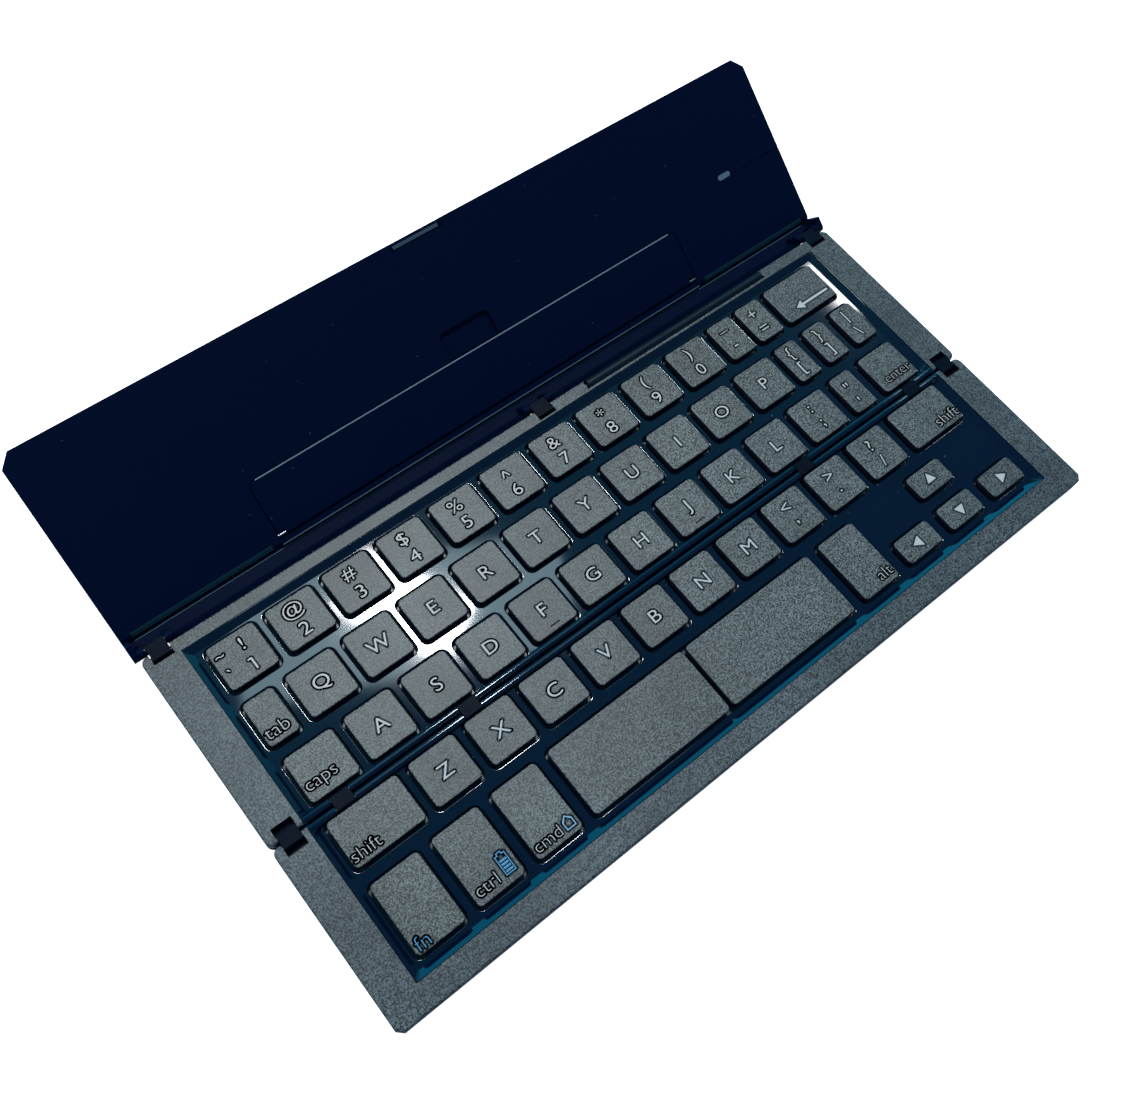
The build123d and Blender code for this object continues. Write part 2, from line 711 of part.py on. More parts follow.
with BuildPart() as front_bezel:
    extrude(front_outline(parting_z), amount=deck_top - parting_z)
    fillet(front_bezel.faces().sort_by(Axis.Z)[-1].edges(), radius=deck_edge)
    seam_rounding(front_seam_y, front_axis_y)
    block(-tray_width / 2, tray_width / 2, front_strip_y, front_seam_y, parting_z, deck_top, Mode.SUBTRACT)
    for side in (-1, 1):
        outer_x = side * (deck_width / 2 - side_wall)
        inner_x = side * (tray_width / 2 + inner_wall)
        block(outer_x, inner_x, front_strip_y, front_seam_y - end_block, parting_z, roof_z, Mode.SUBTRACT)
        end_x = side * end_link_x
        block(end_x - notch_width / 2, end_x + notch_width / 2, seam_y - end_notch_depth, front_seam_y,
              parting_z, deck_top, Mode.SUBTRACT)
        rod(end_x - notch_width / 2 - pin_bite, end_x + notch_width / 2 + pin_bite,
            front_axis_y, axis_z, seat_radius, Mode.SUBTRACT)
    pocket_offset = strip_screw_x + strip_rib / 2 + strip_pocket / 2
    for pocket_x in (-pocket_offset, pocket_offset):
        block(pocket_x - strip_pocket / 2, pocket_x + strip_pocket / 2,
              front_y + side_wall, front_strip_y - inner_wall, parting_z, roof_z, Mode.SUBTRACT)
    block(-strip_screw_x + strip_rib / 2, strip_screw_x - strip_rib / 2,
          front_y + side_wall, front_strip_y - inner_wall, parting_z, roof_z, Mode.SUBTRACT)
    post(front_screw_places, parting_z, deck_base + screw_top, screw_diameter / 2 + pin_seat, Mode.SUBTRACT)
front_bezel.part.label = "front_bezel"
export_step(front_bezel.part, "parts/front_bezel.step")

# Front deck, key tray

with BuildPart() as front_key_tray:
    block(-tray_x, tray_x, tray_front, front_seam_y, deck_base + web_bottom, deck_base + rim_top)
    with BuildSketch(Plane.XY.offset(deck_base + web_top)) as front_basin_floor:
        with Locations((0, (floor_front + front_seam_y + rim_slope) / 2)):
            Rectangle(2 * floor_x, front_seam_y + rim_slope - floor_front)
        fillet(front_basin_floor.vertices().group_by(Axis.Y)[0], radius=basin_corner)
    with BuildSketch(Plane.XY.offset(deck_base + rim_top)) as front_basin_rim:
        with Locations((0, (floor_front - rim_slope + front_seam_y + 2 * rim_slope) / 2)):
            Rectangle(2 * (floor_x + rim_slope), front_seam_y + 3 * rim_slope - floor_front)
        fillet(front_basin_rim.vertices().group_by(Axis.Y)[0], radius=rim_corner)
    loft(mode=Mode.SUBTRACT)
    key_openings(other_front_keys + [space_bay])
    fillet(opening_edges(front_key_tray), radius=web_edge)
    side_skirts(tray_front, front_seam_y - end_block)
    block(-tray_x, tray_x, tray_front, tray_front + tray_skirt, deck_base + plate_top, deck_base + web_bottom)
    seam_rail(front_seam_y, front_axis_y, parting_z)
    seam_corners(front_basin_y, -1)
    for link_x in inner_links_x:
        block(link_x - notch_width / 2, link_x + notch_width / 2, front_axis_y - fold_half, front_seam_y,
              parting_z, deck_top, Mode.SUBTRACT)
        rod(link_x - notch_width / 2 - pin_bite, link_x + notch_width / 2 + pin_bite,
            front_axis_y, axis_z, seat_radius, Mode.SUBTRACT)
front_key_tray.part.label = "front_key_tray"
export_step(front_key_tray.part, "parts/front_key_tray.step")

# Front deck, switch layers

with BuildPart() as front_support_plate:
    block(-plate_x, plate_x, tray_front + layer_margin, front_seam_y - seam_wall - layer_margin,
          floor_z, deck_base + plate_top)
    front_ridge_y = (row_4_y - key_depth / 2 + row_5_y + space_row_depth / 2) / 2
    front_ridge_places = [(i * 2 * key_pitch, front_ridge_y) for i in hole_columns]
    post(front_ridge_places, floor_z, deck_base + plate_top, plate_hole / 2, Mode.SUBTRACT)
front_support_plate.part.label = "front_support_plate"
export_step(front_support_plate.part, "parts/front_support_plate.step")

with BuildPart() as front_membrane:
    front_film_y = tray_front + tray_skirt + layer_margin
    block(-film_x, film_x, front_film_y, front_seam_y - seam_wall - 2 * layer_margin,
          deck_base + plate_top, deck_base + membrane_top)
    post(front_ridge_places, deck_base + plate_top, deck_base + membrane_top, plate_hole / 2, Mode.SUBTRACT)
front_membrane.part.label = "front_membrane"
export_step(front_membrane.part, "parts/front_membrane.step")

with BuildPart() as front_domes:
    domes_at(front_keys)
front_domes.part.label = "front_domes"
export_step(front_domes.part, "parts/front_domes.step")

with BuildPart() as front_scissors:
    scissors_at(front_keys)
front_scissors.part.label = "front_scissors"
export_step(front_scissors.part, "parts/front_scissors.step")

# Front deck, pins, feet and screws

with BuildPart() as front_fold_pins:
    for link_x in all_links_x:
        rod(link_x - fold_pin_half, link_x + fold_pin_half, front_axis_y, axis_z, pin_radius)
front_fold_pins.part.label = "front_fold_pins"
export_step(front_fold_pins.part, "parts/front_fold_pins.step")

with BuildPart() as front_feet:
    foot_pads(front_foot_places, 0, deck_base + foot_seat, 0)
front_feet.part.label = "front_feet"
export_step(front_feet.part, "parts/front_feet.step")

with BuildPart() as front_screws:
    screws_at(front_screw_places)
front_screws.part.label = "front_screws"
export_step(front_screws.part, "parts/front_screws.step")

# Fold links between the decks

with BuildPart() as end_fold_links:
    for link_x in (-end_link_x, end_link_x):
        link_at(link_x, front_axis_y, rear_axis_y, link_shoulder)
end_fold_links.part.label = "end_fold_links"
export_step(end_fold_links.part, "parts/end_fold_links.step")

with BuildPart() as inner_fold_links:
    for link_x in inner_links_x:
        link_at(link_x, front_axis_y, rear_axis_y, link_shoulder)
inner_fold_links.part.label = "inner_fold_links"
export_step(inner_fold_links.part, "parts/inner_fold_links.step")

# Lid links and the pins of the lid hinge

with BuildPart() as lid_links:
    for link_x in lid_links_x:
        link_at(link_x, lid_axis_y, lid_pin_y, lid_link_tail)
lid_links.part.label = "lid_links"
export_step(lid_links.part, "parts/lid_links.step")

lid_axle_half = lid_notch_width / 2 + pin_bite - pin_running

with BuildPart() as hinge_shaft:
    rod(lid_links_x[1] - lid_axle_half, lid_links_x[2] + lid_axle_half, lid_axis_y, axis_z, pin_radius)
hinge_shaft.part.label = "hinge_shaft"
export_step(hinge_shaft.part, "parts/hinge_shaft.step")

with BuildPart() as hinge_stub_pin:
    rod(lid_links_x[0] - lid_axle_half, lid_links_x[0] + lid_axle_half, lid_axis_y, axis_z, pin_radius)
hinge_stub_pin.part.label = "hinge_stub_pin"
export_step(hinge_stub_pin.part, "parts/hinge_stub_pin.step")

lid_pin_half = link_width / 2 + link_side_gap + lug_width - pin_running

with BuildPart() as lid_hinge_pins:
    for link_x in lid_links_x:
        rod(link_x - lid_pin_half, link_x + lid_pin_half, lid_pin_y, axis_z, pin_radius)
lid_hinge_pins.part.label = "lid_hinge_pins"
export_step(lid_hinge_pins.part, "parts/lid_hinge_pins.step")

# Lid, outer shell with the spine, its end ears and the hinge lugs

spine_bottom = (table_clearance - lid_corner_z + spine_depth * tilt_sin) / tilt_cos
bevel_start = (table_clearance - lid_corner_z + lid_thickness * tilt_cos) / tilt_sin
ear_x = lid_width / 2 - ear_thickness
lid_half = lid_width / 2


def lid_outline(n):
    with BuildSketch(lid_face.offset(n)) as outline:
        with Locations((0, lid_length / 2)):
            Rectangle(lid_width, lid_length)
        chamfer(outline.vertices().group_by(Axis.Y)[-1], length=lid_corner)
    return outline.sketch


with BuildPart() as lid_outer_shell:
    with BuildSketch(lid_section(-lid_half)):
        with BuildLine():
            Polyline(
                (lid_length, -lid_thickness),
                (lid_length, -lid_panel),
                (0, -lid_panel),
                (0, -lid_panel + trough_step),
                (-trough_depth, trough_floor),
                (-trough_depth, spine_height),
                (-spine_depth, spine_height),
                (-spine_depth, spine_bottom),
                (bevel_start, -lid_thickness),
                close=True,
            )
        make_face()
    extrude(amount=lid_width)
    for side in (-1, 1):
        corner_x = side * lid_half
        with BuildSketch(lid_face.offset(-lid_thickness)):
            with BuildLine():
                Polyline(
                    (corner_x, lid_length),
                    (corner_x - side * lid_corner, lid_length),
                    (corner_x, lid_length - lid_corner),
                    close=True,
                )
            make_face()
        extrude(amount=lid_thickness, mode=Mode.SUBTRACT)
    top_outer = lid_outer_shell.edges().filter_by(Axis.X).sort_by(Axis.Y)[-2:]
    fillet(top_outer.sort_by(Axis.Z)[0], radius=lid_edge)
    lid_block(-lid_half + shell_border, lid_half - shell_border, shell_border, lid_length - shell_border,
              -lid_panel - shell_pocket, -lid_panel, Mode.SUBTRACT)
    for link_x in lid_links_x:
        notch_half = link_width / 2 + link_side_gap
        lid_block(link_x - notch_half, link_x + notch_half, -spine_depth, -trough_depth,
                  spine_height - spine_notch, spine_height, Mode.SUBTRACT)
        for lug_x in (link_x - notch_half - lug_width, link_x + notch_half):
            with BuildSketch(lid_section(lug_x)):
                with Locations((-pin_below_panel, pin_above_panel)):
                    Circle(lug_radius)
                with Locations((-pin_below_panel, pin_above_panel / 2)):
                    Rectangle(2 * lug_radius, pin_above_panel)
            extrude(amount=lug_width)
    for ear_start in (-lid_half, ear_x):
        with BuildSketch(lid_section(ear_start)):
            with BuildLine():
                Polyline(
                    (0, -lid_panel + trough_step),
                    (-ear_lean, ear_height),
                    (-ear_depth + ear_corner, ear_height),
                )
                RadiusArc((-ear_depth + ear_corner, ear_height), (-ear_depth, ear_height - ear_corner),
                          -ear_corner)
                Polyline(
                    (-ear_depth, ear_height - ear_corner),
                    (-ear_depth, 0),
                    (0, -lid_panel + trough_step),
                )
            make_face()
        extrude(amount=ear_thickness)
    for link_x in lid_links_x:
        rod(link_x - lid_pin_half, link_x + lid_pin_half, lid_pin_y, axis_z, seat_radius, Mode.SUBTRACT)
lid_outer_shell.part.label = "lid_outer_shell"
export_step(lid_outer_shell.part, "parts/lid_outer_shell.step")

# Lid, inner panel

flap_axis_u = flap_bottom + flap_thickness / 2
flap_half = flap_width / 2
flap_pin_end = flap_half + flap_pin_length - flap_pin_window

with BuildPart() as lid_inner_panel:
    extrude(lid_outline(-lid_panel), amount=lid_panel)
    recess_half = flap_half + flap_clearance
    with BuildSketch(lid_face) as flap_bay:
        with Locations((0, (flap_bottom + flap_top) / 2)):
            Rectangle(2 * recess_half, flap_top - flap_bottom + 2 * flap_clearance)
        fillet(flap_bay.vertices().group_by(Axis.Y)[-1], radius=flap_corner + flap_clearance)
    extrude(amount=-flap_recess, mode=Mode.SUBTRACT)
    with BuildSketch(lid_face):
        with Locations((0, (flap_top + thumb_top) / 2)):
            RectangleRounded(thumb_width, thumb_top - flap_top + 2 * thumb_corner, thumb_corner)
        with Locations((0, flap_top - flap_thickness)):
            Rectangle(thumb_width, 2 * flap_thickness)
    extrude(amount=-thumb_depth, mode=Mode.SUBTRACT)
    lid_block(-finger_width / 2, finger_width / 2, lid_length - finger_depth, lid_length,
              -lid_panel + latch_height, 0, Mode.SUBTRACT)
    with BuildSketch(lid_face):
        with Locations((oblong_x, oblong_u)):
            SlotOverall(oblong_width + 2 * pin_running, oblong_height + 2 * pin_running)
    extrude(amount=-oblong_depth, mode=Mode.SUBTRACT)
    lid_block(oblong_x, lid_half, hairline_u - hairline_width / 2, hairline_u + hairline_width / 2,
              -hairline_depth, 0, Mode.SUBTRACT)
    for bevel_left in (-lid_half, recess_half):
        with BuildSketch(lid_section(bevel_left)):
            with BuildLine():
                Polyline((0, 0), (panel_bevel, 0), (0, -panel_bevel_depth), close=True)
            make_face()
        extrude(amount=lid_half - recess_half, mode=Mode.SUBTRACT)
    flap_axis_y = lid_corner_y + flap_axis_u * tilt_cos + flap_thickness / 2 * tilt_sin
    flap_axis_z = lid_corner_z + flap_axis_u * tilt_sin - flap_thickness / 2 * tilt_cos
    rod(-flap_pin_end, flap_pin_end, flap_axis_y, flap_axis_z, seat_radius, Mode.SUBTRACT)
lid_inner_panel.part.label = "lid_inner_panel"
export_step(lid_inner_panel.part, "parts/lid_inner_panel.step")

with BuildPart() as lid_magnet:
    with BuildSketch(lid_face.offset(-oblong_depth)):
        with Locations((oblong_x, oblong_u)):
            SlotOverall(oblong_width, oblong_height)
    extrude(amount=oblong_depth - hairline_depth)
lid_magnet.part.label = "lid_magnet"
export_step(lid_magnet.part, "parts/lid_magnet.step")

with BuildPart() as latch_bar:
    lid_block(-latch_width / 2, latch_width / 2, lid_length - finger_depth + link_side_gap,
              lid_length - finger_depth + link_side_gap + latch_depth,
              -lid_panel + latch_height, -lid_panel + 2 * latch_height)
latch_bar.part.label = "latch_bar"
export_step(latch_bar.part, "parts/latch_bar.step")

# Support flap and its pins

with BuildPart() as support_flap:
    with BuildSketch(lid_section(-flap_half)):
        with Locations((flap_axis_u, -flap_thickness / 2)):
            Circle(flap_thickness / 2)
        with Locations(((flap_axis_u + flap_top) / 2, -flap_thickness / 2)):
            Rectangle(flap_top - flap_axis_u, flap_thickness)
    extrude(amount=flap_width)
    for side in (-1, 1):
        corner_x = side * flap_half
        with BuildSketch(lid_face.offset(-flap_thickness)):
            with BuildLine():
                Polyline(
                    (corner_x - side * flap_corner, flap_top),
                    (corner_x, flap_top),
                    (corner_x, flap_top - flap_corner),
                )
                RadiusArc((corner_x, flap_top - flap_corner), (corner_x - side * flap_corner, flap_top),
                          -side * flap_corner)
            make_face()
        extrude(amount=flap_thickness, mode=Mode.SUBTRACT)
        window_x = side * (flap_half - flap_pin_window / 2)
        window_top = flap_bottom + flap_thickness + link_side_gap
        lid_block(window_x - flap_pin_window / 2, window_x + flap_pin_window / 2, flap_bottom, window_top,
                  -flap_thickness, 0, Mode.SUBTRACT)
    rod(-flap_pin_end, flap_pin_end, flap_axis_y, flap_axis_z, bore_radius, Mode.SUBTRACT)
support_flap.part.label = "support_flap"
export_step(support_flap.part, "parts/support_flap.step")

with BuildPart() as flap_pins:
    for side in (-1, 1):
        pin_out = side * (flap_pin_end - pin_running)
        pin_in = side * (flap_half - 2 * flap_pin_window - flap_pin_length)
        rod(pin_in, pin_out, flap_axis_y, flap_axis_z, pin_radius)
flap_pins.part.label = "flap_pins"
export_step(flap_pins.part, "parts/flap_pins.step")

# Key caps that have a piece of their own

with BuildPart() as key_backspace:
    caps_at([backspace_place])
    fillet(key_backspace.faces().sort_by(Axis.Z)[-1].edges(), radius=cap_edge)
    hollow_caps([backspace_place])
key_backspace.part.label = "key_backspace"
export_step(key_backspace.part, "parts/key_backspace.step")

with BuildPart() as key_tab:
    caps_at([tab_place])
    fillet(key_tab.faces().sort_by(Axis.Z)[-1].edges(), radius=cap_edge)
    hollow_caps([tab_place])
key_tab.part.label = "key_tab"
export_step(key_tab.part, "parts/key_tab.step")

with BuildPart() as key_caps_lock:
    caps_at([caps_place])
    fillet(key_caps_lock.faces().sort_by(Axis.Z)[-1].edges(), radius=cap_edge)
    hollow_caps([caps_place])
key_caps_lock.part.label = "key_caps_lock"
export_step(key_caps_lock.part, "parts/key_caps_lock.step")

with BuildPart() as key_enter:
    caps_at([enter_place])
    fillet(key_enter.faces().sort_by(Axis.Z)[-1].edges(), radius=cap_edge)
    hollow_caps([enter_place])
key_enter.part.label = "key_enter"
export_step(key_enter.part, "parts/key_enter.step")

with BuildPart() as key_left_shift:
    caps_at([left_shift_place])
    fillet(key_left_shift.faces().sort_by(Axis.Z)[-1].edges(), radius=cap_edge)
    hollow_caps([left_shift_place])
key_left_shift.part.label = "key_left_shift"
export_step(key_left_shift.part, "parts/key_left_shift.step")

with BuildPart() as key_right_shift:
    caps_at([right_shift_place])
    fillet(key_right_shift.faces().sort_by(Axis.Z)[-1].edges(), radius=cap_edge)
    hollow_caps([right_shift_place])
key_right_shift.part.label = "key_right_shift"
export_step(key_right_shift.part, "parts/key_right_shift.step")

with BuildPart() as key_fn:
    caps_at([fn_place])
    fillet(key_fn.faces().sort_by(Axis.Z)[-1].edges(), radius=cap_edge)
    hollow_caps([fn_place])
key_fn.part.label = "key_fn"
export_step(key_fn.part, "parts/key_fn.step")

with BuildPart() as key_ctrl:
    caps_at([ctrl_place])
    fillet(key_ctrl.faces().sort_by(Axis.Z)[-1].edges(), radius=cap_edge)
    hollow_caps([ctrl_place])
key_ctrl.part.label = "key_ctrl"
export_step(key_ctrl.part, "parts/key_ctrl.step")

with BuildPart() as key_command:
    caps_at([command_place])
    fillet(key_command.faces().sort_by(Axis.Z)[-1].edges(), radius=cap_edge)
    hollow_caps([command_place])
key_command.part.label = "key_command"
export_step(key_command.part, "parts/key_command.step")

with BuildPart() as key_left_space:
    caps_at([left_space_place])
    fillet(key_left_space.faces().sort_by(Axis.Z)[-1].edges(), radius=cap_edge)
    hollow_caps([left_space_place])
key_left_space.part.label = "key_left_space"
export_step(key_left_space.part, "parts/key_left_space.step")

with BuildPart() as key_right_space:
    caps_at([right_space_place])
    fillet(key_right_space.faces().sort_by(Axis.Z)[-1].edges(), radius=cap_edge)
    hollow_caps([right_space_place])
key_right_space.part.label = "key_right_space"
export_step(key_right_space.part, "parts/key_right_space.step")

with BuildPart() as key_alt:
    caps_at([alt_place])
    fillet(key_alt.faces().sort_by(Axis.Z)[-1].edges(), radius=cap_edge)
    hollow_caps([alt_place])
key_alt.part.label = "key_alt"
export_step(key_alt.part, "parts/key_alt.step")

with BuildPart() as key_arrow_left:
    caps_at([left_arrow_place])
    fillet(key_arrow_left.faces().sort_by(Axis.Z)[-1].edges(), radius=cap_edge)
    hollow_caps([left_arrow_place])
key_arrow_left.part.label = "key_arrow_left"
export_step(key_arrow_left.part, "parts/key_arrow_left.step")

with BuildPart() as key_arrow_down:
    caps_at([down_arrow_place])
    fillet(key_arrow_down.faces().sort_by(Axis.Z)[-1].edges(), radius=cap_edge)
    hollow_caps([down_arrow_place])
key_arrow_down.part.label = "key_arrow_down"
export_step(key_arrow_down.part, "parts/key_arrow_down.step")

with BuildPart() as key_arrow_right:
    caps_at([right_arrow_place])
    fillet(key_arrow_right.faces().sort_by(Axis.Z)[-1].edges(), radius=cap_edge)
    hollow_caps([right_arrow_place])
key_arrow_right.part.label = "key_arrow_right"
export_step(key_arrow_right.part, "parts/key_arrow_right.step")

with BuildPart() as key_arrow_up:
    caps_at([up_arrow_place])
    fillet(key_arrow_up.faces().sort_by(Axis.Z)[-1].edges(), radius=cap_edge)
    hollow_caps([up_arrow_place])
key_arrow_up.part.label = "key_arrow_up"
export_step(key_arrow_up.part, "parts/key_arrow_up.step")

# Key caps grouped by row

with BuildPart() as keys_number_row:
    caps_at(number_keys_list)
    fillet(keys_number_row.faces().group_by(Axis.Z)[-1].edges(), radius=cap_edge)
    hollow_caps(number_keys_list)
keys_number_row.part.label = "keys_number_row"
export_step(keys_number_row.part, "parts/keys_number_row.step")

with BuildPart() as keys_top_row:
    caps_at(top_letters_list)
    fillet(keys_top_row.faces().group_by(Axis.Z)[-1].edges(), radius=cap_edge)
    hollow_caps(top_letters_list)
keys_top_row.part.label = "keys_top_row"
export_step(keys_top_row.part, "parts/keys_top_row.step")

with BuildPart() as keys_home_row:
    caps_at(home_letters_list)
    fillet(keys_home_row.faces().group_by(Axis.Z)[-1].edges(), radius=cap_edge)
    hollow_caps(home_letters_list)
keys_home_row.part.label = "keys_home_row"
export_step(keys_home_row.part, "parts/keys_home_row.step")

with BuildPart() as keys_bottom_row:
    caps_at(bottom_letters_list)
    fillet(keys_bottom_row.faces().group_by(Axis.Z)[-1].edges(), radius=cap_edge)
    hollow_caps(bottom_letters_list)
keys_bottom_row.part.label = "keys_bottom_row"
export_step(keys_bottom_row.part, "parts/keys_bottom_row.step")
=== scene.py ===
import bpy
import bmesh
import json
from math import radians, cos, sin, pi
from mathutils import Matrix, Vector


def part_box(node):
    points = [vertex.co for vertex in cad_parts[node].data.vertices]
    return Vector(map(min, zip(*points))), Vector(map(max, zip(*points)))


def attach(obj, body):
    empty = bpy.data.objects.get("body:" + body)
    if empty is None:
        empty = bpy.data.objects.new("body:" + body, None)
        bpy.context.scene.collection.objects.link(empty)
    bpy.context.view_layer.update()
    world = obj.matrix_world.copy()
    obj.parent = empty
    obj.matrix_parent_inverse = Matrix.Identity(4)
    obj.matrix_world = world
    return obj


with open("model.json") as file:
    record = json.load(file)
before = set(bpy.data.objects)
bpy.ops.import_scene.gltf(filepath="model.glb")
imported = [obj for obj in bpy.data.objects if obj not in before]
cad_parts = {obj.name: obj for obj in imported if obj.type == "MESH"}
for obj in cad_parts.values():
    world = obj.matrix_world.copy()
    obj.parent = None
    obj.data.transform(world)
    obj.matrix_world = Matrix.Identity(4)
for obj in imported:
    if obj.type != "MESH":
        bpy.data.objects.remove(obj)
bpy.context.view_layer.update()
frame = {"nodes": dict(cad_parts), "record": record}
print("frame loaded")

mm = 0.001


# small helpers for objects and for shader nodes

def addObject(name, data):
    piece = bpy.data.objects.new(name, data)
    bpy.context.scene.collection.objects.link(piece)
    return piece


def meshFrom(bm, name):
    mesh = bpy.data.meshes.new(name)
    bm.to_mesh(mesh)
    bm.free()
    return mesh


def feed(tree, socket, value):
    # another node's socket is linked, anything else is set as the value
    if isinstance(value, bpy.types.NodeSocket):
        tree.links.new(value, socket)
    else:
        socket.default_value = value


def calc(tree, operation, *values):
    node = tree.nodes.new("ShaderNodeMath")
    node.operation = operation
    for socket, value in zip(node.inputs, values):
        feed(tree, socket, value)
    return node.outputs["Value"]


def ramp(tree, source, low, high, start=0.0, end=1.0):
    # source from low to high gives start to end
    node = tree.nodes.new("ShaderNodeMapRange")
    for label, value in (("Value", source), ("From Min", low), ("From Max", high), ("To Min", start), ("To Max", end)):
        feed(tree, node.inputs[label], value)
    return node.outputs["Result"]


def blend(tree, factor, first, second):
    node = tree.nodes.new("ShaderNodeMix")
    node.data_type = "RGBA"
    for label, value in (("Factor", factor), ("A", first), ("B", second)):
        feed(tree, node.inputs[label], value)
    return node.outputs["Result"]


def noise(tree, place, scale, **more):
    node = tree.nodes.new("ShaderNodeTexNoise")
    feed(tree, node.inputs["Vector"], place)
    feed(tree, node.inputs["Scale"], scale)
    for label, value in more.items():
        node.inputs[label].default_value = value
    return node.outputs["Fac"]


def bumpFrom(tree, height, strength, distance):
    node = tree.nodes.new("ShaderNodeBump")
    node.inputs["Distance"].default_value = distance
    feed(tree, node.inputs["Strength"], strength)
    feed(tree, node.inputs["Height"], height)
    return node.outputs["Normal"]


def coordinates(tree, kind):
    return tree.nodes.new("ShaderNodeTexCoord").outputs[kind]


def splitXYZ(tree, vector):
    node = tree.nodes.new("ShaderNodeSeparateXYZ")
    feed(tree, node.inputs["Vector"], vector)
    return node.outputs


def newMaterial(name):
    mat = bpy.data.materials.new(name)
    mat.use_nodes = True
    nodes = mat.node_tree.nodes
    nodes.clear()
    out = nodes.new("ShaderNodeOutputMaterial")
    shader = nodes.new("ShaderNodeBsdfPrincipled")
    mat.node_tree.links.new(shader.outputs["BSDF"], out.inputs["Surface"])
    return mat, shader


def startGroup(name, inputs, outputs):
    group = bpy.data.node_groups.new(name, "ShaderNodeTree")
    for label, kind, default in inputs:
        group.interface.new_socket(name=label, in_out="INPUT", socket_type=kind).default_value = default
    for label, kind in outputs:
        group.interface.new_socket(name=label, in_out="OUTPUT", socket_type=kind)
    return group, group.nodes.new("NodeGroupInput").outputs, group.nodes.new("NodeGroupOutput").inputs


def placeGroup(mat, group, **values):
    node = mat.node_tree.nodes.new("ShaderNodeGroup")
    node.node_tree = group
    for label, value in values.items():
        node.inputs[label].default_value = value
    return node


# node groups that the finishes share

speckleSet = {
    "contrast": (0.42, 0.6),
    "driftScale": 45.0,
    "driftTone": (0.8, 1.2),
    "roughen": 0.12,
    "depth": 0.00006,
}


def makeSpeckleGroup():
    # fine light and dark grains in a moulded surface, with a soft drift in tone
    tree, inn, out = startGroup("moulded speckle", [
        ("Dark", "NodeSocketColor", (0.08, 0.085, 0.085, 1)),
        ("Light", "NodeSocketColor", (0.2, 0.21, 0.21, 1)),
        ("Grain", "NodeSocketFloat", 2700.0),
        ("Roughness", "NodeSocketFloat", 0.55),
        ("Bump", "NodeSocketFloat", 0.15),
    ], [("Color", "NodeSocketColor"), ("Roughness", "NodeSocketFloat"), ("Normal", "NodeSocketVector")])
    place = coordinates(tree, "Object")
    grain = noise(tree, place, inn["Grain"], Detail=2.0, Roughness=0.7)
    spread = ramp(tree, grain, *speckleSet["contrast"])
    tone = ramp(tree, noise(tree, place, speckleSet["driftScale"]), 0.3, 0.7, *speckleSet["driftTone"])
    scale = tree.nodes.new("ShaderNodeVectorMath")
    scale.operation = "SCALE"
    feed(tree, scale.inputs[0], blend(tree, spread, inn["Dark"], inn["Light"]))
    feed(tree, scale.inputs["Scale"], tone)
    feed(tree, out["Color"], scale.outputs["Vector"])
    feed(tree, out["Roughness"], calc(tree, "MULTIPLY_ADD", spread, speckleSet["roughen"], inn["Roughness"]))
    feed(tree, out["Normal"], bumpFrom(tree, grain, inn["Bump"], speckleSet["depth"]))
    return tree


smudgeSet = {
    "dustScale": 260.0,
    "dustSize": 0.09,
    "dustBare": 0.82,
    "depth": 0.00005,
}


def makeSmudgeGroup():
    # slow change of gloss over a smooth surface, with a few fine dust points
    tree, inn, out = startGroup("gloss smudge", [
        ("Color", "NodeSocketColor", (0.01, 0.01, 0.01, 1)),
        ("Dust", "NodeSocketColor", (0.2, 0.25, 0.28, 1)),
        ("Dust Amount", "NodeSocketFloat", 0.0),
        ("Smooth", "NodeSocketFloat", 0.08),
        ("Rough", "NodeSocketFloat", 0.2),
        ("Scale", "NodeSocketFloat", 60.0),
        ("Bump", "NodeSocketFloat", 0.05),
    ], [("Color", "NodeSocketColor"), ("Roughness", "NodeSocketFloat"), ("Normal", "NodeSocketVector")])
    place = coordinates(tree, "Object")
    smudge = noise(tree, place, inn["Scale"], Detail=4.0)
    feed(tree, out["Roughness"], ramp(tree, smudge, 0.3, 0.7, inn["Smooth"], inn["Rough"]))
    cells = tree.nodes.new("ShaderNodeTexVoronoi")
    cells.inputs["Scale"].default_value = smudgeSet["dustScale"]
    feed(tree, cells.inputs["Vector"], place)
    point = ramp(tree, cells.outputs["Distance"], 0.0, smudgeSet["dustSize"], 1.0, 0.0)
    split = tree.nodes.new("ShaderNodeSeparateColor")
    feed(tree, split.inputs["Color"], cells.outputs["Color"])
    few = calc(tree, "GREATER_THAN", split.outputs["Red"], smudgeSet["dustBare"])
    amount = calc(tree, "MULTIPLY", calc(tree, "MULTIPLY", point, few), inn["Dust Amount"])
    feed(tree, out["Color"], blend(tree, amount, inn["Color"], inn["Dust"]))
    feed(tree, out["Normal"], bumpFrom(tree, smudge, inn["Bump"], smudgeSet["depth"]))
    return tree


